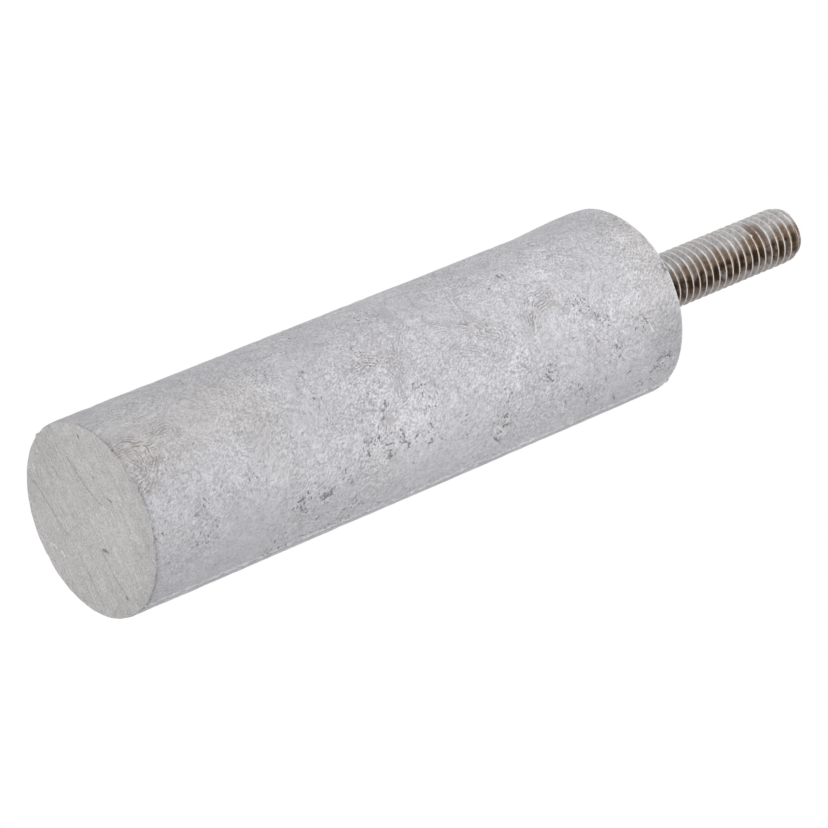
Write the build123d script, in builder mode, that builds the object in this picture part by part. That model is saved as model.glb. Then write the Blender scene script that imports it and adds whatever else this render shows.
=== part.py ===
"""Sacrificial rod anode: a cast slug of anode metal with an M8 steel stud set in one end.

Millimetres. The slug stands on its sawn end: the origin is the centre of that face and +Z
runs up the axis to the tip of the stud.
"""
import os

from build123d import *

# ---- cast slug -------------------------------------------------------------
body_diameter = 26.0
body_length = 90.0
cast_edge_radius = 1.0  # the mould's rounding round the stud end; the sawn end is sharp

# thin ridge where the two halves of the mould met, on the +X and -X sides
flash_width = 0.6
flash_height = 0.2
flash_fade = 0.5  # how much rounder than the slug's end the ridge's end is

# ---- stud ------------------------------------------------------------------
stud_reach = 32.0  # from the slug's end face to the tip
thread_diameter = 7.9  # over the crests of the M8 thread
tip_length = 2.7  # the rounded start of the thread
tip_flat_diameter = 5.0

shank_diameter = 7.19  # the plain rod that the thread was rolled on
shank_depth = 24.0  # how far the rod goes into the casting
key_length = 8.0  # two pressed flats at the buried end hold the stud in the metal
key_thickness = 5.0

# ---- heights along the axis ------------------------------------------------
end_face = body_length
stud_tip = end_face + stud_reach
tip_start = stud_tip - tip_length
shank_end = end_face - shank_depth


# ---- threaded_stud ---------------------------------------------------------
with BuildPart() as threaded_stud:
    # the end of the rod, rounded over to a small flat
    with BuildSketch(Plane.XZ):
        with BuildLine():
            Line((0, end_face), (thread_diameter / 2, end_face))
            Line((thread_diameter / 2, end_face), (thread_diameter / 2, tip_start))
            EllipticalCenterArc(
                (tip_flat_diameter / 2, tip_start),
                (thread_diameter - tip_flat_diameter) / 2,
                tip_length,
                start_angle=0,
                arc_size=90,
            )
            Line((tip_flat_diameter / 2, stud_tip), (0, stud_tip))
            Line((0, stud_tip), (0, end_face))
        make_face()
    revolve(axis=Axis.Z)

    # the plain rod below it, with the two flats
    with BuildSketch(Plane.XY.offset(shank_end)):
        Circle(shank_diameter / 2)
    extrude(amount=shank_depth)
    with BuildSketch(Plane.XY.offset(shank_end)):
        Circle(shank_diameter)
        Rectangle(2 * shank_diameter, key_thickness, mode=Mode.SUBTRACT)
    extrude(amount=key_length, mode=Mode.SUBTRACT)
threaded_stud.part.label = "threaded_stud"


# ---- anode_body ------------------------------------------------------------
with BuildPart() as anode_body:
    with BuildSketch():
        Circle(body_diameter / 2)
    extrude(amount=body_length)
    fillet(anode_body.edges().group_by(Axis.Z)[-1], cast_edge_radius)

    # the parting ridge is the mould's flat joint plane standing proud of the slug, and it
    # dies away over the rounding of the end
    with BuildSketch(Plane.XZ) as joint_plane:
        with Locations((0, body_length / 2)):
            Rectangle(body_diameter + 2 * flash_height, body_length)
        fillet(joint_plane.vertices().group_by(Axis.Y)[-1], cast_edge_radius + flash_fade)
    extrude(amount=flash_width / 2, both=True)

    # the metal froze onto the stud, so its seat has the stud's own shape
    add(threaded_stud.part, mode=Mode.SUBTRACT)
anode_body.part.label = "anode_body"


# ---- export ----------------------------------------------------------------
os.makedirs("parts", exist_ok=True)
export_step(threaded_stud.part, "parts/threaded_stud.step")
export_step(anode_body.part, "parts/anode_body.step")
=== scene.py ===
"""Looks of the sacrificial rod anode: the cast slug with its flow marks and pits, the rolled
thread of its stud, and the camera of the photograph.

Sizes in the constants are millimetres unless a name or comment says otherwise. Blender's own
unit is the metre, so meshes are scaled by MM when they are made.
"""
import math

import bmesh
import bpy
import numpy as np
from mathutils import Matrix, Vector, noise


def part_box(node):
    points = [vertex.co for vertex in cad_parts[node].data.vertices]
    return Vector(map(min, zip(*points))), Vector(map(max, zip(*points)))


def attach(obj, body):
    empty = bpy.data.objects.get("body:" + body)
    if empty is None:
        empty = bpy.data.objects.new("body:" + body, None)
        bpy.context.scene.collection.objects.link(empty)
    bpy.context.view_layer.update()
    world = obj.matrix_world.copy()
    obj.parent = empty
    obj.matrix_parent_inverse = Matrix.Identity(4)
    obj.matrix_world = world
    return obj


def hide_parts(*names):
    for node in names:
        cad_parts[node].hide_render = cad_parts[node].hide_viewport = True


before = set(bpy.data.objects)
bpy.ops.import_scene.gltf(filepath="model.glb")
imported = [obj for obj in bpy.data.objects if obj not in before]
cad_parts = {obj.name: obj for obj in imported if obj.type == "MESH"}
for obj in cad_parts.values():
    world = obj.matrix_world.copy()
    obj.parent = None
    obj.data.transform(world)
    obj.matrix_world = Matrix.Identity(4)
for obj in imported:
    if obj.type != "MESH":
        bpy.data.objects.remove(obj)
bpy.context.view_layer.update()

MM = 0.001

# ---- the slug, as the CAD model has it ----
SLUG_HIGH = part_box("anode_body")[1]
SLUG_RADIUS = SLUG_HIGH.y / MM
SLUG_LENGTH = SLUG_HIGH.z / MM
CAST_EDGE = 1.0
SEAT_RADIUS = 3.6

# ---- the stud ----
STUD_LOW, STUD_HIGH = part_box("threaded_stud")
STUD_TIP = STUD_HIGH.z / MM
SHANK_END = STUD_LOW.z / MM
CREST_RADIUS = STUD_HIGH.y / MM
ROOT_RADIUS = 3.233
PITCH = 1.25
CREST_FLAT = 0.15
FLANK_DEGREES = 30
SHANK_RADIUS = 3.595
KEY_LENGTH = 8.0
KEY_THICKNESS = 5.0
TIP_LENGTH = 2.7
TIP_FLAT_RADIUS = 2.5
THREAD_START = 0.454  # height of a crest on the +X side, less whole turns
THREAD_BOTTOM = 89.4  # the thread starts a little inside the slug

# ---- the photograph's camera ----
PHOTO_SIDE_PX = 828
SENSOR_WIDTH = 36.0
LENS = 206.79
CAMERA_AT = Vector((160.28, -479.01, -306.56))
LOOKS_AT = Vector((3.19, 1.04, 51.59))
CAMERA_ROLL_DEGREES = -67.27


def camera_axes():
    """The camera's right, up and forward directions."""
    forward = (LOOKS_AT - CAMERA_AT).normalized()
    level_right = forward.cross(Vector((0, 0, 1))).normalized()
    level_up = level_right.cross(forward)
    roll = math.radians(CAMERA_ROLL_DEGREES)
    up = level_up * math.cos(roll) + level_right * math.sin(roll)
    return forward.cross(up), up, forward


RIGHT, UP, FORWARD = camera_axes()


def add_camera():
    data = bpy.data.cameras.new("photo_camera")
    data.sensor_width = SENSOR_WIDTH
    data.lens = LENS
    data.clip_start = 0.01
    data.clip_end = 20
    camera = bpy.data.objects.new("photo_camera", data)
    bpy.context.scene.collection.objects.link(camera)
    turn = Matrix((RIGHT, UP, -FORWARD)).transposed().to_4x4()
    camera.matrix_world = Matrix.Translation(CAMERA_AT * MM) @ turn
    bpy.context.scene.camera = camera


def pixel_ray(pixel):
    """The direction in which the camera sees a pixel of the photograph."""
    scale = SENSOR_WIDTH / LENS / PHOTO_SIDE_PX
    across = (pixel[0] - PHOTO_SIDE_PX / 2 + 0.5) * scale
    down = (pixel[1] - PHOTO_SIDE_PX / 2 + 0.5) * scale
    return (FORWARD + RIGHT * across - UP * down).normalized()


def on_rod(pixel, radius):
    """The point in millimetres where a pixel falls on a rod of that radius about the axis."""
    ray = pixel_ray(pixel)
    a = ray.x ** 2 + ray.y ** 2
    b = CAMERA_AT.x * ray.x + CAMERA_AT.y * ray.y
    c = CAMERA_AT.x ** 2 + CAMERA_AT.y ** 2 - radius ** 2
    spread = max(b * b - a * c, 0.0)
    return CAMERA_AT + ray * ((-b - math.sqrt(spread)) / a)


def on_side(pixel):
    return np.array(on_rod(pixel, SLUG_RADIUS))


def on_stud(pixel):
    return np.array(on_rod(pixel, CREST_RADIUS))


def on_sawn_face(pixel):
    ray = pixel_ray(pixel)
    return np.array(CAMERA_AT - ray * (CAMERA_AT.z / ray.z))


# ---- marks of the casting, at their pixels of the photograph ----
# Each table lists its marks by the place where they lie.

# where pits gather, each (pixel, radius of the patch in mm, strength)
PIT_CLUSTERS = {
    "left pair": [((326, 492), 1.3, 1.0), ((302, 500), 1.8, 0.85)],
    "middle, left": [((369, 449), 1.0, 0.95), ((391, 453), 1.0, 0.8), ((387, 442), 1.5, 0.55)],
    "middle, right": [((405, 437), 1.5, 0.75), ((424, 437), 2.4, 0.45)],
    "crease end": [((551, 373), 1.4, 1.0)],
    "below the crease": [((572, 394), 1.9, 1.0), ((594, 394), 1.8, 0.8)],
    "ridge, right": [((640, 385), 1.8, 0.9)],
    "rim by the ridge": [((664, 362), 2.0, 1.0), ((655, 376), 1.8, 0.7)],
    "rim by the stud": [((662, 265), 1.1, 1.0)],
    "upper edge": [((570, 218), 2.2, 0.5), ((624, 220), 2.0, 0.6)],
    "bottom left": [((203, 509), 2.0, 0.45), ((205, 535), 2.6, 0.5), ((158, 535), 2.2, 0.55)],
    "upper middle": [((350, 352), 2.0, 0.6)],
    "upper right": [((499, 275), 1.8, 0.65), ((492, 289), 1.2, 0.6)],
    "centre": [((375, 392), 2.4, 0.35)],
    "under the ring": [((385, 406), 1.7, 0.75)],
    "middle band": [((250, 487), 2.2, 0.4)],
}
BLISTER = ((502, 432), 1.15, 0.28)  # (pixel, radius, height)
GOUGE = ((643, 313), (655, 333))
# thin creases, each a line of pixels
CREASES = {
    "long crease": ((500, 357), (521, 366), (534, 372), (551, 378)),
    "crease under the ring": ((340, 430), (362, 412), (379, 406), (397, 405), (417, 392)),
    "upper crease": ((296, 343), (318, 333), (334, 336)),
    "round the swirl": ((112, 450), (131, 447), (146, 455), (152, 468), (148, 482), (140, 490)),
}
# where the metal folded as it flowed, each a bundle of hairlines about this line
FOLDS = {
    "over the swirl": ((112, 450), (127, 444), (146, 441), (166, 429)),
    "round the swirl": ((141, 448), (150, 461), (151, 474), (142, 488), (138, 497)),
    "fan, curved": ((446, 294), (455, 306), (464, 318), (482, 330), (497, 335)),
    "fan, level": ((435, 326), (464, 326), (482, 331)),
    "ring in the middle": ((346, 372), (364, 362), (386, 364), (400, 378), (402, 393)),
    "arc at the right": ((546, 296), (536, 304), (531, 316), (534, 330)),
    "below the fan": ((455, 350), (476, 352), (502, 361)),
    "up the middle": ((396, 324), (393, 342), (393, 360)),
}
STAINED_SWIRL = (138, 466)
FLOWING_BAND = ((120, 440), (330, 390), (560, 300), (640, 270))
WARM_ABOVE_SWIRL = ((110, 445), (180, 425), (235, 405))
WARM_BY_STUD = ((632, 228), (655, 300))
# patches lighter or darker than the skin around them, each (pixel, radius in mm, change)
SIDE_PATCHES = {
    "smudge of the upper band": [((424, 303), 4.0, -0.08), ((453, 277), 3.5, -0.06)],
    "pale, top": [((130, 400), 4.0, 0.07), ((310, 328), 4.0, 0.05)],
    "pale, by the left pair": [((303, 494), 3.5, 0.06), ((353, 480), 4.0, 0.04)],
    "pale, below the middle": [((410, 425), 9.0, 0.11)],
    "pale, low": [((250, 470), 4.5, 0.05), ((335, 458), 6.0, 0.05), ((394, 458), 5.0, 0.05),
                  ((470, 398), 6.0, 0.05)],
    "pale, right": [((560, 320), 6.0, 0.06), ((510, 290), 5.0, 0.05), ((596, 313), 5.0, 0.04)],
    "dull, by the swirl": [((152, 482), 3.5, -0.08), ((170, 442), 4.0, -0.04)],
    "dull, upper right": [((544, 247), 5.0, -0.05), ((592, 222), 5.5, -0.10),
                          ((659, 255), 3.5, -0.05)],
    "dull, lower left": [((170, 560), 7.0, -0.10), ((190, 505), 5.0, -0.05),
                         ((152, 600), 4.0, -0.12)],
    "dull, middle": [((350, 378), 4.0, -0.05), ((415, 345), 9.0, -0.04)],
    "dull, right of the swirl": [((213, 458), 4.0, -0.05)],
    "dull, in the fan": [((478, 337), 5.0, -0.04)],
    "dull, left": [((259, 424), 5.0, -0.05)],
    "dull, ridge at the right": [((621, 396), 4.0, -0.11)],
    # painted shade where the side turns towards the shoulder edge
    "shoulder": [((674, 336), 7.0, -0.22)],
}
FACE_PATCHES = {
    "pale, right": [((118, 530), 7.0, 0.06)],
    "dull, bottom": [((86, 600), 6.0, -0.07), ((125, 612), 5.0, -0.11)],
    "dull, left": [((42, 443), 6.0, -0.09), ((34, 486), 4.0, -0.09)],
}
# single dark pits, and the painted shadow of the gouge, each (pixel of one end, pixel of the
# other, half width in mm)
SIDE_PITS = {
    "left pair, lower": [((299, 502), (304, 498), 0.17), ((300, 506), (302, 511), 0.13),
                         ((305, 513), (307, 511), 0.14)],
    "left pair, upper": [((323, 499), (331, 494), 0.20), ((327, 495), (331, 490), 0.12)],
    "below the left pair": [((315, 520), (319, 516), 0.08), ((273, 531), (275, 529), 0.08)],
    "middle, left": [((369, 441), (369, 446), 0.10), ((369, 452), (370, 456), 0.12)],
    "middle": [((391, 450), (389, 459), 0.17), ((385, 445), (393, 443), 0.12),
               ((403, 431), (404, 437), 0.15), ((408, 441), (409, 447), 0.11),
               ((402, 443), (406, 441), 0.11)],
    "middle, right": [((415, 438), (419, 434), 0.10), ((428, 444), (432, 441), 0.10),
                      ((440, 442), (441, 438), 0.08)],
    "upper right": [((495, 274), (499, 276), 0.14), ((489, 287), (492, 290), 0.10)],
    "long crease": [((546, 374), (553, 381), 0.13), ((549, 371), (553, 373), 0.10),
                    ((580, 389), (583, 389), 0.12)],
    "right": [((605, 382), (606, 379), 0.10), ((626, 374), (630, 371), 0.10)],
    "blister": [((494, 438), (499, 441), 0.14), ((497, 434), (500, 431), 0.08),
                ((503, 426), (508, 424), 0.12)],
    "gouge, its shadow": [((643, 315), (648, 323), 0.06)],
    "ridge end": [((657, 361), (661, 357), 0.12), ((664, 357), (668, 355), 0.10),
                  ((650, 372), (656, 367), 0.13), ((650, 389), (657, 387), 0.14)],
    "by the stud": [((660, 262), (663, 264), 0.12), ((663, 267), (666, 269), 0.14)],
    "upper middle": [((313, 398), (316, 397), 0.12)],
}
# bright new metal, each (pixel of one end, pixel of the other, half width in mm)
SIDE_FLECKS = {
    "streak over the middle": [((494, 327), (500, 333), 0.10)],
    "flake of the gouge": [((649, 323), (654, 331), 0.13)],
    "on the side": [((601, 383), (604, 380), 0.13)],
    "blister": [((497, 426), (500, 428), 0.13), ((503, 433), (506, 430), 0.12),
                ((494, 429), (495, 432), 0.10), ((508, 427), (509, 431), 0.09)],
    "ridge end": [((660, 363), (664, 360), 0.14), ((672, 359), (673, 356), 0.12)],
    "sawn rim, right": [((130, 485), (130, 488), 0.14)],
}
FACE_FLECKS = {
    "rim, left": [((61, 551), (65, 556), 0.22), ((50, 542), (57, 547), 0.13),
                  ((45, 534), (48, 539), 0.10)],
    "rim, upper left": [((33, 463), (34, 470), 0.18), ((36, 449), (38, 455), 0.16)],
    "rim, top": [((78, 427), (82, 432), 0.18)],
    "inside the rim": [((82, 526), (86, 533), 0.12), ((103, 478), (104, 483), 0.10)],
}
# small dark specks of the sawn face, and long faint lines that the saw left, in the same form
FACE_SPECKS = {
    "pit": [((103, 550), (107, 552), 0.20)],
    "top": [((77, 435), (78, 437), 0.13), ((111, 450), (113, 451), 0.14),
            ((92, 476), (93, 478), 0.10)],
    "right": [((107, 498), (111, 502), 0.08)],
    "bottom": [((126, 597), (127, 599), 0.12)],
}
SAW_LINES = {
    "left": [((34, 480), (54, 514), 0.12), ((54, 514), (67, 534), 0.10)],
    "upper left": [((48, 460), (60, 479), 0.09)],
    "upper middle": [((66, 456), (86, 488), 0.11), ((86, 488), (101, 505), 0.09)],
    "below the pit": [((100, 548), (114, 576), 0.10), ((114, 576), (129, 600), 0.10)],
    "lower left": [((78, 552), (104, 606), 0.08)],
}
SAWN_PIT = (105, 551)
RIM_NOTCH = (50, 557)
WORN_RIM = (85, 432)
SWELLING_DEGREES = -160.0  # from +X about the axis
SWELLING_HEIGHT = 86.5
SWELLING_REACH = 10.0
SWELLING_RISE = 0.45

FAR = 9.0  # stands for any distance at which a mark no longer shows

# ---- relief, in millimetres ----
WAVINESS = 0.05
FLOW_RELIEF = 0.055
GRAIN_RELIEF = 0.012
PIT_DEPTH = 0.16
SINGLE_PIT_DEPTH = 0.10
GOUGE_DEPTH = 0.14
CREASE_DEPTH = 0.05
RIDGE_HEIGHT = 0.22
RIDGE_WIDTH = 0.6
RIDGE_DRIFT = 0.45
END_RELIEF = 0.06
SAW_RELIEF = 0.02
SAWN_PIT_DEPTH = 0.25
RIM_REACH = 0.7  # how far up the side the rim's wear and chips reach
RIM_WEAR = 0.05
RIM_CHIP = 0.10
WORN_RIM_REACH = 1.3
WORN_RIM_LOSS = 0.28
NOTCH_DEPTH = 0.34
SAW_DIRECTION_DEGREES = 15.5  # of the saw marks, in the sawn face, from the X axis


def fractal(points, size, octaves=3, shift=0.0):
    """Smooth noise of about that feature size in millimetres, at each point, from -1 to 1."""
    offset = Vector((shift, 1.7 * shift, -shift))
    return np.array([
        noise.fractal(Vector(p) / size + offset, 1.0, 2.0, octaves) for p in points
    ])


def marks_of(table):
    """All the marks of a table, wherever they lie."""
    return sum(table.values(), [])


def noise_at(x, y, z):
    """Plain smooth noise from -1 to 1. Each of x, y and z is a number or a list of them."""
    return np.array([noise.noise(Vector(place)) for place in np.broadcast(x, y, z)])


def near(points, centre, radius):
    """1 at the centre, falling smoothly to 0 at that distance from it."""
    distance = np.linalg.norm(points - centre, axis=1) / radius
    return np.clip(1 - distance ** 2, 0, 1) ** 2


def from_line(points, start, end):
    """The step to each point from the nearest place on a straight line between two others."""
    along = end - start
    share = np.clip((points - start) @ along / (along @ along), 0, 1)
    return points - start - share[:, None] * along


def line_gap(points, start, end):
    """Distance of each point from a straight line between two others."""
    return np.linalg.norm(from_line(points, start, end), axis=1)


def stretches(pixels):
    """The straight stretches, each (start, end), of a line drawn over the slug's side."""
    route = [on_side(pixel) for pixel in pixels]
    return zip(route[:-1], route[1:])


def near_line(points, pixels, radius):
    """1 on a line over the slug's side, falling smoothly to 0 at that distance from it."""
    gap = np.min([line_gap(points, *ends) for ends in stretches(pixels)], axis=0)
    return np.clip(1 - (gap / radius) ** 2, 0, 1) ** 2


def ring(radius, height, angles):
    """Points of a level ring about the axis."""
    return [(radius * math.cos(a), radius * math.sin(a), height) for a in angles]


# ---- the slug's mesh ----
SAWN, SIDE, END, SEAT = range(4)  # the parts of the slug's surface, the last one hidden
FRONT_STEP = 0.27
BACK_STEP = 0.44
RIDGE_STEP = 0.1
RIDGE_REACH = 1.3
SIDE_STEP = 0.315


def column_angles():
    """Angles of the mesh's columns: close together on the ridges, then on the photo's side."""
    angles = []
    arc = -math.pi * SLUG_RADIUS
    end = math.pi * SLUG_RADIUS
    while arc < end - BACK_STEP / 2:
        angles.append(arc / SLUG_RADIUS)
        to_ridge = min(abs(arc), abs(abs(arc) - end))
        if to_ridge < RIDGE_REACH:
            arc += RIDGE_STEP
        else:
            arc += FRONT_STEP if arc < 0 else BACK_STEP
    return np.array(angles)


def slug_rings():
    """The mesh's rings, each (radius, height, part), from the sawn face to the seat's end."""
    rings = [(r, 0.0, SAWN) for r in np.linspace(0.4, SLUG_RADIUS - 0.15, 32)]
    rings.append((SLUG_RADIUS, 0.0, SIDE))
    straight = SLUG_LENGTH - CAST_EDGE
    heights = np.linspace(0.16, straight, int(straight / SIDE_STEP))
    rings += [(SLUG_RADIUS, z, SIDE) for z in heights]
    for turn in np.linspace(15, 90, 6):
        inset = CAST_EDGE * (1 - math.cos(math.radians(turn)))
        rise = CAST_EDGE * math.sin(math.radians(turn))
        rings.append((SLUG_RADIUS - inset, straight + rise, END))
    rings += [(r, SLUG_LENGTH, END) for r in np.linspace(SLUG_RADIUS - CAST_EDGE - 0.5, 4.1, 16)]
    rings += [(SEAT_RADIUS, SLUG_LENGTH, SEAT), (SEAT_RADIUS, SHANK_END, SEAT)]
    return rings


def ridge_relief(points):
    """The parting ridge on both sides: how far it stands proud, fading over the cast edge."""
    x, y, z = points.T
    drift = RIDGE_DRIFT * noise_at(0.0, 3.1, z / 17)
    across = np.where(x > 0, y - drift, y + drift)
    ragged = 1 + 0.9 * noise_at(5.0, np.sign(x), z / 0.9)
    shape = np.clip(1 - (2 * across / RIDGE_WIDTH) ** 2, 0, 1)
    inset = SLUG_RADIUS - np.hypot(x, y)
    fade = np.clip((SLUG_LENGTH - 0.45 - z) / 0.55, 0, 1)
    return (RIDGE_HEIGHT * ragged + 0.35 * inset) * shape * fade


def side_relief(points, swirl):
    """How far each point of the side stands out from the true cylinder."""
    relief = WAVINESS * fractal(points, 22.0, 2, 3.0) + 0.03 * fractal(points, 6.0, 2, 9.0)
    bent = points + 3.0 * np.stack([fractal(points, 7.0, 1, s) for s in (1, 2, 3)], axis=1)
    relief += FLOW_RELIEF * swirl * (1 - 3 * np.abs(fractal(bent, 2.6, 2, 5.0)))
    relief += GRAIN_RELIEF * fractal(points, 0.7, 2, 7.0)
    return relief + swelling(points) + ridge_relief(points) + marks_relief(points)


def swelling(points):
    """The photo's upper edge bulges a little near the stud end."""
    crown = ring(SLUG_RADIUS, SWELLING_HEIGHT, [math.radians(SWELLING_DEGREES)])
    return SWELLING_RISE * near(points, np.array(crown), SWELLING_REACH)


def marks_relief(points):
    """Pits, creases, the blister and the gouge of the photograph."""
    relief = np.zeros(len(points))
    broken = np.clip(fractal(points, 0.55, 1, 11.0) * 3.0, 0, 1)
    for pixel, radius, strength in marks_of(PIT_CLUSTERS):
        relief -= PIT_DEPTH * strength * near(points, on_side(pixel), radius * 1.25) * broken
    for line in CREASES.values():
        relief -= CREASE_DEPTH * near_line(points, line, 0.45)
    relief -= SINGLE_PIT_DEPTH * np.clip(1 - pit_gap(points) / 0.30, 0, 1)
    pixel, radius, rise = BLISTER
    relief += rise * near(points, on_side(pixel), radius) * (0.6 + 0.8 * broken)
    return relief - GOUGE_DEPTH * near_line(points, GOUGE, 0.6)


def sawn_relief(points):
    """Heights of the sawn face: long scratches of the blade, a pit and a fine roughness."""
    turn = math.radians(SAW_DIRECTION_DEGREES)
    across = points[:, 1] * math.cos(turn) - points[:, 0] * math.sin(turn)
    along = points[:, 0] * math.cos(turn) + points[:, 1] * math.sin(turn)
    rows = noise_at(across / 0.5, along / 14, 2.0)
    rows += 0.5 * noise_at(across / 1.3, along / 30, 8.0)
    relief = SAW_RELIEF * rows + 0.008 * fractal(points, 0.6, 2, 4.0)
    return relief + SAWN_PIT_DEPTH * near(points, on_sawn_face(SAWN_PIT), 0.45)


def rim_loss(points):
    """How much of the sharp sawn rim is missing at each point: wear, chips and the notch."""
    rim = np.clip(1 - points[:, 2] / RIM_REACH, 0, 1) ** 2
    loss = RIM_WEAR * rim * (1 + fractal(points, 1.3, 2, 6.0))
    for pixel, _, half_width in marks_of(FACE_FLECKS):
        loss += RIM_CHIP * near(points, on_sawn_face(pixel), half_width * 4) * rim
    worn_edge = np.clip(1 - points[:, 2] / WORN_RIM_REACH, 0, 1) ** 2
    loss += WORN_RIM_LOSS * worn_edge * near(points, on_sawn_face(WORN_RIM), 9.0)
    return loss + NOTCH_DEPTH * near(points, on_sawn_face(RIM_NOTCH), 0.9)


def shape_slug(points, parts, swirl):
    """Moves the true shape's points to the cast one's."""
    side = parts == SIDE
    end = parts == END
    sawn = parts == SAWN
    radial = points * (1, 1, 0)
    radial /= np.maximum(np.linalg.norm(radial, axis=1), 1e-6)[:, None]
    out = points.copy()
    out[side] += radial[side] * (side_relief(points[side], swirl[side])
                                 - rim_loss(points[side]))[:, None]
    out[sawn, 2] += sawn_relief(points[sawn])
    shoulder = WAVINESS * fractal(points[end], 22.0, 2, 3.0) + ridge_relief(points[end])
    shoulder += swelling(points[end])
    out[end] += radial[end] * shoulder[:, None]
    rough = END_RELIEF * fractal(points[end], 3.0, 3, 12.0) - 0.05
    away = np.clip((points[end, 2] - SLUG_LENGTH + CAST_EDGE) / CAST_EDGE, 0, 1)
    out[end, 2] += rough * away
    return out


def flow_strength(points):
    """Where the casting shows flow marks: strong on the photo's upper band, faint elsewhere."""
    strength = 1.2 * near_line(points, FLOWING_BAND, 17.0)
    return np.clip(0.35 + 0.3 * fractal(points, 14.0, 2, 2.0) + strength, 0, 1)


def paint(mesh, name, values):
    """Stores one number at each vertex, for the material to read."""
    layer = mesh.attributes.new(name, "FLOAT", "POINT")
    layer.data.foreach_set("value", np.asarray(values, dtype=np.float32))


def ring_faces(columns, rows):
    """Quads between rings of vertices that close on themselves."""
    faces = []
    for low in range(0, (rows - 1) * columns, columns):
        high = low + columns
        for c in range(columns):
            after = (c + 1) % columns
            faces.append((low + c, low + after, high + after, high + c))
    return faces


def fan_faces(ring_start, columns, middle, flip):
    """Triangles that close a ring with one vertex in its middle."""
    faces = []
    for c in range(columns):
        after = (c + 1) % columns
        face = (ring_start + c, ring_start + after, middle)
        faces.append(face[::-1] if flip else face)
    return faces


def mesh_object(name, points, faces):
    mesh = bpy.data.meshes.new(name)
    mesh.from_pydata((points * MM).tolist(), [], faces)
    mesh.update()
    mesh.shade_smooth()
    made = bpy.data.objects.new(name, mesh)
    bpy.context.scene.collection.objects.link(made)
    return made


def pit_strength(points):
    """Where pits are painted: the photograph's clusters and a few thin patches elsewhere."""
    found = np.zeros(len(points))
    for pixel, radius, strength in marks_of(PIT_CLUSTERS):
        found = np.maximum(found, strength * near(points, on_side(pixel), radius * 1.7))
    pixel, radius, _ = BLISTER
    away = np.linalg.norm(points - on_side(pixel), axis=1)
    found = np.maximum(found, 0.95 * np.exp(-((away - 0.75 * radius) / 0.3) ** 2))
    unseen = np.clip(0.4 - points @ np.array(CAMERA_AT) / CAMERA_AT.length / SLUG_RADIUS, 0.1, 1)
    scattered = np.clip(fractal(points, 6.0, 2, 21.0) * 2.6 - 0.6, 0, 0.9)
    return np.maximum(found, scattered * unseen)


def pit_gap(points):
    """Distance in millimetres from the edge of the nearest single pit."""
    gap = np.full(len(points), FAR)
    for start, end, half_width in marks_of(SIDE_PITS):
        middle_line = line_gap(points, on_side(start), on_side(end))
        gap = np.minimum(gap, middle_line - 0.7 * half_width)
    return np.maximum(gap, 0)


def line_offset(points, lines):
    """Signed distance in millimetres from the nearest line, for marks finer than the mesh."""
    offset = np.full(len(points), FAR)
    outward = points * (1, 1, 0)
    for line in lines.values():
        for start, end in stretches(line):
            gap = from_line(points, start, end)
            away = np.linalg.norm(gap, axis=1)
            side = np.sign(np.einsum("ij,ij->i", np.cross(end - start, outward), gap))
            nearer = away < np.abs(offset)
            offset[nearer] = (side * away)[nearer]
    return offset


def rim_patches_and_ridge_shade(points):
    """Darker places: patches just past the sawn rim, and painted shade on the far side of the
    parting ridge.
    """
    past_rim = (points[:, 2] > 0.01) * np.clip(1.3 - points[:, 2] / 0.5, 0, 1)
    facing = points @ np.array([0.9, -0.2, 0.0]) / SLUG_RADIUS
    patches = np.clip(0.45 + 0.7 * facing + 0.6 * fractal(points, 3.0, 2, 31.0), 0, 1)
    # painted shade: a dark band on the far side of the parting ridge, below its crown
    past_ridge = (points[:, 0] > 0) * np.clip(points[:, 1] / 0.3, 0, 1)
    past_ridge *= np.clip(1.2 - points[:, 1] / 4.0 + 0.5 * fractal(points, 4.0, 2, 61.0), 0, 1)
    past_ridge *= points[:, 2] < SLUG_LENGTH - CAST_EDGE
    return np.maximum(past_rim * patches, 0.5 * past_ridge)


def stain_strength(points):
    """Where the flow lines are stained brown: a swirl by the sawn end, traces elsewhere."""
    swirl = near(points, on_side(STAINED_SWIRL), 7.0)
    traces = np.clip(fractal(points, 9.0, 2, 41.0) * 1.2 - 0.1, 0, 0.4)
    return np.maximum(swirl, traces)


def patch_shade(points):
    """How much lighter or darker each place is than its surroundings, as the photo shows."""
    shade = np.zeros(len(points))
    for table, place_of in ((SIDE_PATCHES, on_side), (FACE_PATCHES, on_sawn_face)):
        for pixel, radius, change in marks_of(table):
            shade += change * near(points, place_of(pixel), radius)
    return shade


def warm_strength(points):
    """Where the skin is a warmer grey: above the swirl and at the shoulder beside the stud."""
    found = np.maximum(near_line(points, WARM_ABOVE_SWIRL, 9.0),
                       0.7 * near_line(points, WARM_BY_STUD, 8.0))
    return np.clip(found + 0.4 * fractal(points, 8.0, 2, 51.0) - 0.05, 0, 1)


def crown_highlight_and_blister_strength(points):
    """Where the parting ridge's crown gets a painted highlight, and where the blister is rubbed
    to brighter metal.
    """
    on_the_side = np.hypot(points[:, 0], points[:, 1]) > SLUG_RADIUS - 0.01
    # painted highlight along the top of the parting ridge
    crown = np.clip(ridge_relief(points) / RIDGE_HEIGHT - 0.4, 0, 0.40)
    pixel, radius, _ = BLISTER
    blister = 0.8 * near(points, on_side(pixel), radius) * (fractal(points, 0.5, 1, 17.0) > 0.1)
    return np.maximum(crown * on_the_side, blister)


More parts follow.
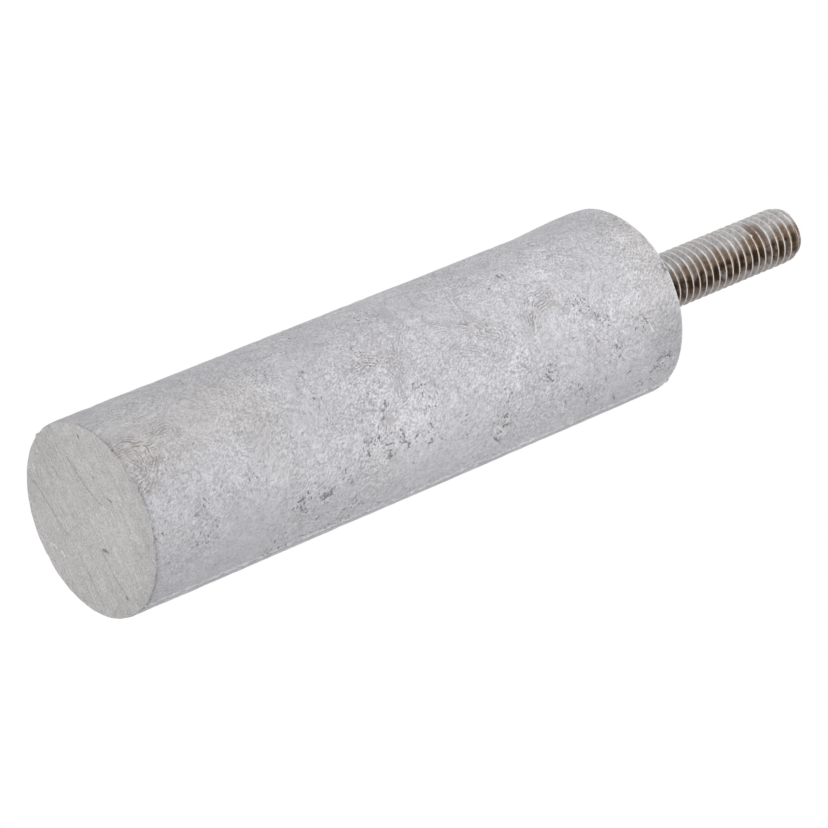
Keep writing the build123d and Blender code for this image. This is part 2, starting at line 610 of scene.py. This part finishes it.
def build_slug():
    angles = column_angles()
    rings = slug_rings()
    columns = len(angles)
    points = []
    parts = []
    for radius, height, part in rings:
        points += ring(radius, height, angles)
        parts += [part] * columns
    points += [(0, 0, 0.0), (0, 0, SHANK_END)]
    parts += [SAWN, SEAT]
    true_points = np.array(points)
    parts = np.array(parts)
    swirl = flow_strength(true_points)
    middle = len(rings) * columns
    faces = ring_faces(columns, len(rings))
    faces += fan_faces(0, columns, middle, True)
    faces += fan_faces(middle - columns, columns, middle + 1, False)
    slug = mesh_object("cast_slug", shape_slug(true_points, parts, swirl), faces)
    painted = {
        "flow": swirl,
        "pitted": pit_strength(true_points),
        "crease_offset": line_offset(true_points, CREASES),
        "fold_gap": np.abs(line_offset(true_points, FOLDS)),
        "warm": warm_strength(true_points),
        "shade": patch_shade(true_points),
        "pit_gap": pit_gap(true_points),
        "dark_rim_and_ridge_shade": rim_patches_and_ridge_shade(true_points),
        "stain": stain_strength(true_points),
        "crown_highlight_and_blister": crown_highlight_and_blister_strength(true_points),
        "sawn": parts == SAWN,
    }
    for name, values in painted.items():
        paint(slug.data, name, values)
    slug.data.set_sharp_from_angle(angle=math.radians(50))
    return slug


# ---- the stud's mesh ----
# the rounded crest: (height from the crest's middle, depth below the crest)
CREST_CURVE = ((0.0, 0.0), (0.055, 0.002), (0.092, 0.045))
FLANK_HEIGHTS = (0.13, 0.21, 0.30, 0.39)
# the dished end: (radius, depth below the tip)
TIP_DISH = ((2.2, 0.02), (1.6, 0.12), (0.8, 0.16))
TIP_MIDDLE_DEPTH = 0.17
TURN_COLUMNS = 120
TURN_ANGLES = [2 * math.pi * c / TURN_COLUMNS for c in range(TURN_COLUMNS)]
DENT = (752, 230)
DENT_DEPTH = 0.16
THREAD_WEAR = 0.02
RUST_AT = (757, 233)


def thread_form():
    """Points over one pitch of the rolled thread: (height from the crest's middle, radius)."""
    crest_edge = CREST_FLAT / 2
    slope = math.tan(math.radians(FLANK_DEGREES))
    root_edge = crest_edge + (CREST_RADIUS - ROOT_RADIUS) * slope
    half = [(h, CREST_RADIUS - depth) for h, depth in CREST_CURVE]
    half += [(h, CREST_RADIUS - (h - crest_edge) / slope) for h in FLANK_HEIGHTS]
    half += [(0.46, ROOT_RADIUS + 0.075), (root_edge + 0.035, ROOT_RADIUS + 0.012)]
    mirrored = [(PITCH - h, r) for h, r in half[:0:-1]]
    return half + [(PITCH / 2, ROOT_RADIUS)] + mirrored


def tip_envelope(height):
    """The largest radius that the rounded end of the rod allows at a height."""
    share = np.clip((height - STUD_TIP + TIP_LENGTH) / TIP_LENGTH, 0, 1)
    bulge = (CREST_RADIUS - TIP_FLAT_RADIUS) * np.sqrt(1 - share ** 2)
    return TIP_FLAT_RADIUS + bulge


def thread_points():
    """The thread's vertices, column by column; a column's rows; the rows of one pitch."""
    form = thread_form()
    first_turn = math.floor((THREAD_BOTTOM - THREAD_START) / PITCH) - 1
    turns = math.ceil((STUD_TIP - THREAD_BOTTOM) / PITCH) + 3
    base = THREAD_START + first_turn * PITCH
    points = []
    for c, angle in enumerate(TURN_ANGLES):
        rise = PITCH * c / TURN_COLUMNS
        for turn in range(turns):
            for height, radius in form:
                z = base + rise + turn * PITCH + height
                points.append((angle, z, radius))
    return np.array(points), turns * len(form), len(form)


def worn(angle, z, radius):
    """Small unevenness of the thread's crests and the dent of the photograph."""
    place = np.stack([radius * np.cos(angle), radius * np.sin(angle), z], axis=1)
    height = np.clip((radius - ROOT_RADIUS) / (CREST_RADIUS - ROOT_RADIUS), 0, 1)
    loss = THREAD_WEAR * height * (1 + fractal(place, 1.1, 2, 14.0))
    broken = 0.5 + 0.9 * fractal(place, 0.6, 1, 15.0)
    dented = np.clip(broken, 0, 1) * near(place, on_stud(DENT), 1.5)
    return loss + DENT_DEPTH * height * dented


def build_thread():
    """The threaded part: a right-handed ridge whose seam steps up by one pitch each turn."""
    vertices, rows, step = thread_points()
    angle, z, radius = vertices.T
    radius = radius - worn(angle, z, radius)
    radius = np.minimum(radius, tip_envelope(z))
    under = z < THREAD_BOTTOM
    radius = np.where(under, SHANK_RADIUS, radius)
    z = np.clip(z, THREAD_BOTTOM, STUD_TIP)
    points = np.stack([radius * np.cos(angle), radius * np.sin(angle), z], axis=1)
    faces = []
    for c in range(TURN_COLUMNS):
        here = c * rows
        seam = c == TURN_COLUMNS - 1
        there = step if seam else here + rows
        for r in range(rows - 1 - (step if seam else 0)):
            faces.append((here + r, there + r, there + r + 1, here + r + 1))
    return points, faces


def ring_points(rings):
    """Points of plain rings on the stud: each is (radius, height, whether the keys are cut)."""
    points = []
    for radius, height, keyed in rings:
        for x, y, z in ring(radius, height, TURN_ANGLES):
            if keyed:
                y = max(-KEY_THICKNESS / 2, min(KEY_THICKNESS / 2, y))
            points.append((x, y, z))
    return points


def build_shank():
    """The buried rod below the thread, with its two flats."""
    key_top = SHANK_END + KEY_LENGTH
    rings = [(SHANK_RADIUS, SHANK_END, True), (SHANK_RADIUS, key_top, True),
             (SHANK_RADIUS, key_top, False), (SHANK_RADIUS, THREAD_BOTTOM, False)]
    points = ring_points(rings) + [(0, 0, SHANK_END)]
    faces = ring_faces(TURN_COLUMNS, len(rings))
    faces += fan_faces(0, TURN_COLUMNS, len(points) - 1, True)
    return np.array(points), faces


def build_tip():
    """The small end face of the rod, slightly dished as a rolled end is."""
    rings = [(TIP_FLAT_RADIUS, STUD_TIP, False)]
    rings += [(radius, STUD_TIP - depth, False) for radius, depth in TIP_DISH]
    points = ring_points(rings) + [(0, 0, STUD_TIP - TIP_MIDDLE_DEPTH)]
    faces = ring_faces(TURN_COLUMNS, len(rings))
    last = (len(rings) - 1) * TURN_COLUMNS
    faces += fan_faces(last, TURN_COLUMNS, len(points) - 1, False)
    return np.array(points), faces


def build_stud():
    all_points = []
    all_faces = []
    for points, faces in (build_thread(), build_shank(), build_tip()):
        first = sum(len(p) for p in all_points)
        all_points.append(points)
        all_faces += [tuple(first + v for v in face) for face in faces]
    stud = mesh_object("threaded_rod", np.concatenate(all_points), all_faces)
    weld(stud.data)
    stud.data.set_sharp_from_angle(angle=math.radians(40))
    return stud


def weld(mesh):
    """Joins vertices that lie together, where the thread runs into the plain ends."""
    work = bmesh.new()
    work.from_mesh(mesh)
    bmesh.ops.remove_doubles(work, verts=work.verts, dist=0.000002)
    bmesh.ops.dissolve_degenerate(work, edges=work.edges, dist=0.000001)
    bmesh.ops.delete(work, geom=[v for v in work.verts if not v.link_faces], context="VERTS")
    bmesh.ops.recalc_face_normals(work, faces=work.faces)
    work.to_mesh(mesh)
    work.free()


# ---- materials ----
class Nodes:
    """Short ways to add nodes to a node tree."""

    def __init__(self, tree):
        self.tree = tree

    def fill(self, node, sockets):
        """Links or sets the inputs that have those names or numbers."""
        for name, value in sockets.items():
            if isinstance(value, bpy.types.NodeSocket):
                self.tree.links.new(value, node.inputs[name])
            else:
                node.inputs[name].default_value = value

    def add(self, kind, sockets=None, **settings):
        """Adds a node. Its kind goes without the word ShaderNode that all of them start with."""
        node = self.tree.nodes.new("ShaderNode" + kind)
        for name, value in settings.items():
            setattr(node, name, value)
        self.fill(node, sockets or {})
        return node

    def math(self, operation, a, b=0.0):
        return self.add("Math", {0: a, 1: b}, operation=operation).outputs[0]

    def plus(self, a, b):
        return self.math("ADD", a, b)

    def minus(self, a, b):
        return self.math("SUBTRACT", a, b)

    def times(self, a, b):
        return self.math("MULTIPLY", a, b)

    def most(self, a, b):
        return self.math("MAXIMUM", a, b)

    def vector(self, operation, a, b):
        """Vector math that gives a vector. SCALE takes a number for b."""
        second = "Scale" if operation == "SCALE" else 1
        return self.add("VectorMath", {0: a, second: b}, operation=operation).outputs[0]

    def measure(self, operation, a, b=(0, 0, 0)):
        """Vector math that gives a number: LENGTH, DISTANCE or DOT_PRODUCT."""
        return self.add("VectorMath", {0: a, 1: b}, operation=operation).outputs[1]

    def swing(self, value, amount):
        """A value from 0 to 1 turned into one from minus to plus half the amount."""
        return self.times(self.minus(value, 0.5), amount)

    def split(self, vector):
        return self.add("SeparateXYZ", {0: vector}).outputs

    def noise(self, size_mm, detail=2.0, place=None, rough=0.5, distortion=0.0):
        """Noise from 0 to 1 with features of about that size."""
        return self.add("TexNoise", {
            "Vector": place or self.place, "Scale": 1 / (size_mm * MM),
            "Detail": detail, "Roughness": rough, "Distortion": distortion,
        }).outputs["Fac"]

    def ramp(self, value, low, high, start=0.0, end=1.0, kind="SMOOTHSTEP"):
        """Goes from start to end as value goes from low to high, with soft or straight ends."""
        return self.add("MapRange", {
            "Value": value, "From Min": low, "From Max": high, "To Min": start, "To Max": end,
        }, interpolation_type=kind).outputs["Result"]

    def mix(self, share, a, b):
        return self.add("Mix", {0: share, 6: a, 7: b}, data_type="RGBA").outputs[2]

    def painted(self, name):
        return self.add("Attribute", attribute_name=name).outputs["Fac"]

    def bump(self, height, depth_mm, before=None):
        """Relief whose height socket, from 0 to 1, stands for that many millimetres."""
        sockets = {"Distance": depth_mm * MM, "Height": height}
        if before is not None:
            sockets["Normal"] = before
        return self.add("Bump", sockets).outputs["Normal"]


class MaterialNodes(Nodes):
    """The nodes of a new material. Its place socket gives each point in metres."""

    def __init__(self, name):
        self.material = bpy.data.materials.new(name)
        self.material.use_nodes = True
        super().__init__(self.material.node_tree)
        self.shader = self.tree.nodes["Principled BSDF"]
        self.place = self.add("TexCoord").outputs["Object"]


COOL_GREY = (0.585, 0.578, 0.606, 1)
WARM_GREY = (0.583, 0.568, 0.568, 1)
SAWN_GREY = (0.642, 0.631, 0.627, 1)
BROWN_HAIR = (0.32, 0.285, 0.26, 1)
GREY_HAIR = (0.34, 0.33, 0.33, 1)
PIT_AND_SHADE_GREY = (0.17, 0.165, 0.17, 1)
FRESH_METAL_AND_HIGHLIGHT = (0.90, 0.90, 0.92, 1)
STROKE_DIRECTION = (-0.44, -0.24, 0.865)
CLOUD_SIZE = 8.0
MOTTLE_SIZE = 1.8
GRAIN_SIZE = 0.23
SKIN_BUMP = 0.13
MOTTLE_BUMP = 0.22
HAIR_COVER = 0.7  # how much of the hairlines' colour shows, from 0 to 1
PIT_COVER = 0.75
BASE_METALLIC = 0.25  # a dull oxide skin over metal


def flow_streaks(n, bend_mm, bands, length_mm, shift):
    """Fine streaks that follow the contours of a smooth field, as flowing metal leaves them."""
    field = n.noise(bend_mm, 1.6, n.vector("ADD", n.place, (shift, -shift, shift)), 0.45)
    streak = n.add("TexNoise", {
        "Vector": n.place, "W": n.times(field, bands * length_mm * MM),
        "Scale": 1 / (length_mm * MM), "Detail": 1.5, "Roughness": 0.6,
    }, noise_dimensions="4D")
    return streak.outputs["Fac"]


def cast_metal():
    """Matte cast anode metal: grey mottle, flow streaks, brownish hairlines, pits and flecks,
    with painted highlights, and painted shade past the ridge and towards the sawn end.
    """
    n = MaterialNodes("cast_anode_metal")
    flow = n.painted("flow")
    sawn = n.painted("sawn")
    cast = n.minus(1.0, sawn)
    mottle = n.noise(MOTTLE_SIZE, 4.0, rough=0.6, distortion=1.1)
    grain = n.noise(GRAIN_SIZE, 3.0, brushed(n), 0.8)
    streaks = flow_streaks(n, 12.0, 95.0, 5.0, 0.0)
    lines = n.most(hairs(n, mottle, flow), creases(n, mottle))
    lines = n.times(n.most(lines, folds(n, mottle)), cast)
    pits = n.most(n.times(pit_marks(n), cast), face_strokes(n, FACE_SPECKS))

    colour = n.mix(n.painted("warm"), COOL_GREY, WARM_GREY)
    colour = n.vector("SCALE", colour, brightness(n, mottle, grain, streaks, flow))
    hair_colour = n.mix(n.ramp(n.painted("stain"), 0.1, 0.5), GREY_HAIR, BROWN_HAIR)
    colour = n.mix(n.times(lines, HAIR_COVER), colour, hair_colour)
    colour = n.mix(n.times(sawn, 0.95), colour, sawn_colour(n, grain))
    # darker patches past the sawn rim, and painted shade past the parting ridge, mixed towards
    # pit grey
    dark_rim_and_ridge_shade = n.times(n.painted("dark_rim_and_ridge_shade"), n.ramp(grain, 0.3, 0.6, 0.9, 0.5))
    colour = n.mix(n.times(dark_rim_and_ridge_shade, cast), colour, PIT_AND_SHADE_GREY)
    colour = n.mix(n.times(pits, PIT_COVER), colour, PIT_AND_SHADE_GREY)
    # flecks of new metal, with painted highlights on the pits' edges and the ridge's crown
    colour = n.mix(bright_metal_and_highlights(n), colour, FRESH_METAL_AND_HIGHLIGHT)

    height = n.minus(n.times(grain, 0.5), pits)
    height = n.minus(height, n.times(lines, 0.25))
    height = n.plus(height, n.times(n.times(streaks, n.times(flow, cast)), 0.4))
    n.fill(n.shader, {
        "Base Color": colour,
        "Roughness": n.ramp(mottle, 0.3, 0.7, 0.56, 0.74),
        "Metallic": BASE_METALLIC,
        "Normal": n.bump(mottle, MOTTLE_BUMP, n.bump(height, SKIN_BUMP)),
    })
    return n.material


def brushed(n):
    """The place, squeezed along the slanting strokes of the photo's lower half."""
    squeeze = n.times(n.measure("DOT_PRODUCT", n.place, STROKE_DIRECTION), 0.5)
    return n.vector("SUBTRACT", n.place, n.vector("SCALE", STROKE_DIRECTION, squeeze))


def hairs(n, mottle, flow):
    """Dark hairlines that follow the flow, and short curls, both stronger in the stain."""
    stain = n.painted("stain")
    whorls = flow_streaks(n, 9.0, 80.0, 6.0, 0.03)
    drawn = n.ramp(whorls, 0.36, 0.43, 1.0, 0.0)
    share = n.times(flow, n.ramp(mottle, 0.42, 0.60, 0.10, 0.7))
    share = n.most(share, n.times(stain, 0.9))
    curled_share = n.plus(n.times(n.plus(share, stain), 0.6), 0.2)
    curls = n.times(n.most(curl(n, 2.6), curl(n, 4.2)), curled_share)
    return n.most(n.times(drawn, share), curls)


def curl(n, size_mm):
    """Thin curled lines: one height of a distorted field, broken into short pieces."""
    place = n.vector("ADD", n.place, (0.7, size_mm, 0.3))
    gap = n.math("ABSOLUTE", n.minus(n.noise(size_mm, 3.0, place, 0.55, 1.6), 0.5))
    broken = n.ramp(n.noise(1.1, 2.0), 0.46, 0.60)
    return n.times(n.ramp(gap, 0.0, 0.030, 1.0, 0.0), broken)


def creases(n, mottle):
    """Thin broken folds in the metal, drawn about the painted offset."""
    away = n.math("ABSOLUTE", n.plus(n.painted("crease_offset"), wander(n, mottle)))
    crumbs = n.noise(0.30, 3.0, rough=0.7)
    drawn = n.ramp(n.minus(crumbs, n.times(away, 0.9)), 0.38, 0.52)
    broken = n.ramp(n.noise(1.7, 2.0), 0.42, 0.58, 0.15, 1.0)
    return n.times(drawn, broken)


def wander(n, mottle):
    """How far in millimetres a crease strays from its line."""
    return n.plus(n.swing(mottle, 1.2), n.swing(n.noise(5.0, 1.0), 3.0))


def folds(n, mottle):
    """Bundles of broken hairlines that run side by side about the painted folds."""
    bent = n.plus(n.painted("fold_gap"), n.times(wander(n, mottle), 0.7))
    waves = n.math("SINE", n.times(bent, 15.0))
    narrow = n.ramp(n.math("ABSOLUTE", bent), 0.5, 2.3, 0.9, 0.0)
    broken = n.ramp(n.noise(1.3, 3.0, rough=0.65), 0.38, 0.55)
    drawn = n.times(n.ramp(waves, 0.1, 1.0), broken)
    stained = n.plus(1.0, n.painted("stain"))
    return n.times(n.times(drawn, narrow), stained)


def brightness(n, mottle, grain, streaks, flow):
    """How much lighter or darker than its colour the cast skin is at each place, with painted
    shade towards the sawn end.
    """
    height = n.split(n.place)["Z"]
    crisp = n.times(n.ramp(n.noise(11.0), 0.40, 0.60, 0.65, 1.25),
                    n.ramp(height, 0.005, 0.04, 0.72, 1.0))
    speckle = n.times(n.ramp(grain, 0.38, 0.62, -0.21, 0.21), crisp)
    cloud = n.swing(n.noise(CLOUD_SIZE, 4.0), 0.20)
    even = n.plus(n.plus(cloud, n.swing(mottle, 0.60)), speckle)
    drawn = n.swing(streaks, n.plus(flow, 0.2))
    shade = n.plus(1.0, n.plus(even, n.times(drawn, 0.42)))
    # painted shade: darker towards the sawn end and a little lighter towards the stud end, in
    # place of the lamps' fall-off
    painted_dimming = n.ramp(height, 0.0, 0.065, 0.925, 1.03)
    return n.times(shade, n.plus(painted_dimming, n.painted("shade")))


def pit_marks(n):
    """Small dark pits: thick in the painted clusters, and a thin scatter everywhere."""
    squeezed = n.vector("MULTIPLY", n.place, (0.85, 0.85, 1.5))
    dots = n.noise(0.50, 3.0, squeezed, 0.6)
    uneven = n.ramp(n.noise(1.4, 2.0), 0.40, 0.62, 0.25, 0.9)
    gathered = n.times(n.ramp(n.painted("pitted"), 0.05, 0.9), uneven)
    ragged = n.plus(dots, n.times(gathered, 0.08))
    pits = n.times(n.ramp(ragged, 0.63, 0.70), n.ramp(gathered, 0.0, 0.2))
    specks = n.ramp(n.noise(0.40, 2.0, rough=0.6), 0.64, 0.70)
    crumbs = n.noise(0.24, 3.0, rough=0.7)
    single = n.minus(crumbs, n.times(n.painted("pit_gap"), 1.3))
    pits = n.most(pits, n.ramp(single, 0.40, 0.50))
    return n.most(pits, n.times(specks, 0.4))


def on_cylinder(n, radius):
    """The place in millimetres moved onto a cylinder, so that relief changes no distance."""
    flat = n.vector("MULTIPLY", n.place, (1, 1, 0))
    outward = n.vector("SCALE", flat, n.math("DIVIDE", radius, n.measure("LENGTH", flat)))
    return n.vector("ADD", outward, n.vector("MULTIPLY", n.place, (0, 0, 1 / MM)))


def on_end(n):
    """The place in millimetres, with the sawn face's small heights counted at half."""
    return n.vector("MULTIPLY", n.place, (1 / MM, 1 / MM, 0.5 / MM))


def to_stroke(n, place_mm, start_mm, end_mm):
    """Distance in millimetres from a short straight stroke."""
    along = Vector(end_mm) - Vector(start_mm)
    from_start = n.vector("SUBTRACT", place_mm, start_mm)
    share = n.add("Clamp", {
        "Value": n.measure("DOT_PRODUCT", from_start, along / along.length_squared),
    }).outputs[0]
    gap = n.vector("SUBTRACT", from_start, n.vector("SCALE", along, share))
    return n.measure("LENGTH", gap)


def strokes(n, table, place_of, place_mm):
    """1 on any of the table's strokes, falling to 0 a little past its half width."""
    found = 0.0
    for start, end, half_width in marks_of(table):
        away = to_stroke(n, place_mm, place_of(start), place_of(end))
        found = n.most(n.ramp(away, 0.2 * half_width, 1.5 * half_width, 1.0, 0.0), found)
    return found


def face_strokes(n, table):
    """1 on any of the table's strokes of the sawn face."""
    return strokes(n, table, on_sawn_face, on_end(n))


def bright_metal_and_highlights(n):
    """Flecks of new metal, painted glints on the edges of gathered pits, the painted highlight
    on the parting ridge's crown and the brighter blister.
    """
    chipped = n.ramp(n.noise(0.35, 3.0, rough=0.7), 0.42, 0.56)
    chips = n.times(face_strokes(n, FACE_FLECKS), chipped)
    flakes = strokes(n, SIDE_FLECKS, on_side, on_cylinder(n, SLUG_RADIUS))
    flakes = n.times(flakes, n.plus(n.times(chipped, 0.5), 0.4))
    # painted highlights: glints on the edges of gathered pits
    glints = n.ramp(n.noise(0.28, 2.0, n.vector("ADD", n.place, (1, 1, 1))), 0.60, 0.68)
    pitted = n.ramp(n.painted("pitted"), 0.3, 0.9, 0.0, 0.6)
    flecks = n.most(n.most(flakes, chips), n.times(glints, pitted))
    # painted highlight on the ridge's crown, and the brighter blister
    crown_highlight_and_blister = n.times(n.painted("crown_highlight_and_blister"), 0.8)
    return n.times(n.most(flecks, crown_highlight_and_blister), 0.85)


def sawn_colour(n, grain):
    """The sawn face: a little warmer, with long straight scratches of the blade."""
    turn = (0, 0, -math.radians(SAW_DIRECTION_DEGREES))
    turned = n.add("Mapping", {"Vector": n.place, "Rotation": turn}).outputs[0]
    stretch = n.vector("MULTIPLY", turned, (0.06, 1.0, 1.0))
    streaks = n.noise(0.6, 4.0, stretch, 0.7)
    patches = n.noise(1.9, 4.0, rough=0.65)
    light = n.plus(n.swing(grain, 1.6), n.swing(streaks, 0.45))
    light = n.plus(n.plus(light, n.swing(patches, 0.55)), n.painted("shade"))
    colour = n.vector("SCALE", SAWN_GREY[:3], n.plus(1.0, light))
    contour = n.math("ABSOLUTE", n.minus(n.noise(3.0, 1.5, stretch), 0.5))
    scratch = n.times(n.ramp(contour, 0.003, 0.016, 0.38, 0.0), n.ramp(patches, 0.44, 0.60))
    worn = n.ramp(n.noise(0.7, 3.0, rough=0.7), 0.34, 0.58, 0.25, 0.80)
    lines = n.times(face_strokes(n, SAW_LINES), worn)
    return n.mix(n.most(scratch, lines), colour, BROWN_HAIR)


CREST_STEEL = (0.70, 0.69, 0.69, 1)
GREY_STEEL = (0.575, 0.565, 0.565, 1)
BROWN_STAIN_AND_REFLECTION = (0.31, 0.235, 0.18, 1)
DARK_OXIDE_AND_SHADE = (0.058, 0.034, 0.020, 1)
RUST = (0.17, 0.10, 0.058, 1)
STEEL_BUMP = 0.014
# directions about the axis, in degrees from +X
BROWN_AT = -50
OXIDE_AND_REFLECTION_AT = -40
SHADED_CRESTS_AT = -130
SHADED_AT = 14
STUD_FLAKES = {
    "flattened crest": [((746, 228), (753, 233), 0.16), ((749, 224), (759, 231), 0.12)],
    "chip": [((752, 236), (755, 241), 0.12)],
}


def stud_steel():
    """Rolled steel: bright worn crests over brown-stained grooves, with darker oxide. The brown
    and dark bands on one side are partly painted dark reflection; painted shade darkens one side
    and the crests facing -130 degrees.
    """
    n = MaterialNodes("stud_steel")
    x, y, z = n.split(n.place)
    radius = n.math("SQRT", n.plus(n.times(x, x), n.times(y, y)))
    crest = n.ramp(radius, (CREST_RADIUS - 0.10) * MM, (CREST_RADIUS - 0.03) * MM)
    fine = n.noise(0.5, 3.0, rough=0.7)

    # brown grooves on one side: partly stain, partly painted dark reflection
    colour = n.mix(brown_side(n, radius, z), GREY_STEEL, BROWN_STAIN_AND_REFLECTION)
    colour = n.mix(n.ramp(fine, 0.35, 0.65, 0.30, 0.0), colour, DARK_OXIDE_AND_SHADE)
    tip_clean = n.ramp(z, (STUD_TIP - 2.5) * MM, (STUD_TIP - 0.6) * MM, 1.0, 0.3)
    # a dark band on one side: partly oxide, partly painted dark reflection
    colour = n.mix(n.times(dark_side(n, radius), tip_clean), colour, DARK_OXIDE_AND_SHADE)
    colour = n.mix(rust_stain(n, fine), colour, RUST)
    rubbed = n.times(crest, n.ramp(fine, 0.3, 0.5, 0.55, 0.95))
    # painted shade: the crests are darker on the side facing -130 degrees
    painted_dimming = n.ramp(facing(n, SHADED_CRESTS_AT, radius), 0.5, 0.95, 1.0, 0.45)
    colour = n.mix(n.times(rubbed, painted_dimming), colour, CREST_STEEL)
    flakes = strokes(n, STUD_FLAKES, on_stud, on_cylinder(n, CREST_RADIUS))
    colour = n.mix(n.times(flakes, n.ramp(fine, 0.40, 0.55)), colour, CREST_STEEL)
    shaded = n.ramp(facing(n, SHADED_AT, radius), 0.60, 1.0, 0.0, 0.42)
    n.fill(n.shader, {
        "Base Color": n.mix(shaded, colour, DARK_OXIDE_AND_SHADE),
        "Roughness": n.ramp(crest, 0.0, 1.0, 0.50, 0.34),
        "Metallic": 1.0,
        "Normal": n.bump(fine, STEEL_BUMP),
    })
    return n.material


def facing(n, degrees, radius):
    """How far each place is turned to that direction: 1 straight to it, 0 on the end face."""
    angle = math.radians(degrees)
    side = n.measure("DOT_PRODUCT", n.place, (math.cos(angle), math.sin(angle), 0))
    return n.math("DIVIDE", side, n.most(radius, ROOT_RADIUS * MM))


def brown_side(n, radius, z):
    """The photo's lower middle, where the grooves are brown: partly stain, partly painted dark
    reflection of the surroundings in the flanks.
    """
    reach = n.plus(facing(n, BROWN_AT, radius), n.swing(n.noise(3.0, 3.0), 0.8))
    reach = n.minus(reach, n.ramp(z, (STUD_TIP - 2.0) * MM, STUD_TIP * MM, 0.0, 0.25))
    return n.ramp(reach, 0.60, 1.0, 0.04, 1.0)


def dark_side(n, radius):
    """Dark colour in the grooves, in a broken band along one side of the stud: partly oxide,
    partly painted dark reflection of the surroundings in the flanks.
    """
    band = n.ramp(facing(n, OXIDE_AND_REFLECTION_AT, radius), 0.86, 0.97)
    blotch = n.ramp(n.noise(1.5, 2.0), 0.36, 0.58, 0.22, 0.95)
    return n.times(band, blotch)


def rust_stain(n, fine):
    """A brown stain that runs along two or three grooves near the end."""
    from_rust = n.vector("SUBTRACT", n.place, on_stud(RUST_AT) * MM)
    away = n.measure("LENGTH", n.vector("MULTIPLY", from_rust, (1.0, 1.0, 2.2)))
    patch = n.ramp(away, 1.4 * MM, 3.4 * MM, 1.0, 0.0)
    return n.times(patch, n.ramp(fine, 0.3, 0.6, 0.55, 0.9))


# ---- light, floor and background ----
# each lamp's place and diameter in metres, and its watts
LAMPS = {
    "key": ((-0.25, -0.46, 0.18), 0.35, 0.95),
    "fill": ((0.45, -0.43, 0.02), 0.35, 1.65),
    "front": ((-0.04, -0.12, -0.72), 0.35, 1.6),
    "top": ((-0.08, 0.12, 1.0), 0.5, 2.5),
    "back_fill": ((-0.15, 0.8, 0.3), 0.6, 2.5),
}
LAMPS_AIM_AT = (0, 0, 0.05)
ROOM_LIGHT = 0.37
SHADED_ROOM_LIGHT = 0.32
WHITE = (1, 1, 1, 1)
FLOOR_GREY = (0.86, 0.86, 0.86, 1)
FLOOR_HALF = 600.0
FLOOR_FADE = (220.0, 520.0)  # distances at which the floor starts and ends to fade out
BELOW_PART = 0.3


def add_lamp(name, place, size, watts):
    data = bpy.data.lights.new(name, "AREA")
    data.shape = "DISK"
    data.size = size
    data.energy = watts
    lamp = bpy.data.objects.new(name, data)
    bpy.context.scene.collection.objects.link(lamp)
    lamp.location = place
    aim = Vector(LAMPS_AIM_AT) - Vector(place)
    lamp.rotation_euler = aim.to_track_quat("-Z", "Y").to_euler()


def add_world():
    """Even soft light, a little weaker from +X, and white where the camera or metal sees it."""
    world = bpy.data.worlds.new("studio")
    world.use_nodes = True
    bpy.context.scene.world = world
    n = Nodes(world.node_tree)
    n.tree.nodes.clear()
    path = n.add("LightPath").outputs
    seen = n.most(path["Is Camera Ray"], path["Is Glossy Ray"])
    seen = n.most(seen, path["Is Transmission Ray"])
    side = n.split(n.add("TexCoord").outputs["Generated"])["X"]
    strength = n.ramp(side, -1.0, 1.0, ROOM_LIGHT, SHADED_ROOM_LIGHT, "LINEAR")
    light = n.add("Background", {"Color": WHITE, "Strength": strength})
    backdrop = n.add("Background", {"Color": WHITE, "Strength": 1.0})
    both = n.add("MixShader", {0: seen, 1: light.outputs[0], 2: backdrop.outputs[0]})
    n.add("OutputWorld", {0: both.outputs[0]})


def floor_material():
    """Pale floor that is clear from below, where the photo's camera is, and fades outwards."""
    n = MaterialNodes("pale_floor")
    n.fill(n.shader, {"Base Color": FLOOR_GREY, "Roughness": 0.9, "Specular IOR Level": 0.1})
    away = n.times(n.measure("DISTANCE", n.place), 1 / MM)
    back = n.add("NewGeometry").outputs["Backfacing"]
    hidden = n.most(n.ramp(away, *FLOOR_FADE), back)
    clear = n.add("BsdfTransparent")
    both = n.add("MixShader", {0: hidden, 1: n.shader.outputs[0], 2: clear.outputs[0]})
    n.fill(n.tree.nodes["Material Output"], {"Surface": both.outputs[0]})
    return n.material


def add_floor():
    corners = [(-1, -1), (1, -1), (1, 1), (-1, 1)]
    points = np.array([(FLOOR_HALF * x, FLOOR_HALF * y, -BELOW_PART) for x, y in corners])
    floor = mesh_object("studio_floor", points, [(0, 1, 2, 3)])
    floor.data.materials.append(floor_material())
    for ray in ("shadow", "diffuse", "glossy", "transmission"):
        setattr(floor, "visible_" + ray, False)


# ---- the scene ----
add_camera()
for lamp_name, lamp in LAMPS.items():
    add_lamp(lamp_name, *lamp)
add_world()
add_floor()

slug = build_slug()
slug.data.materials.append(cast_metal())
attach(slug, "root")
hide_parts("anode_body")

stud = build_stud()
stud.data.materials.append(stud_steel())
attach(stud, "root")
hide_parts("threaded_stud")

bpy.context.scene.view_settings.view_transform = "Standard"
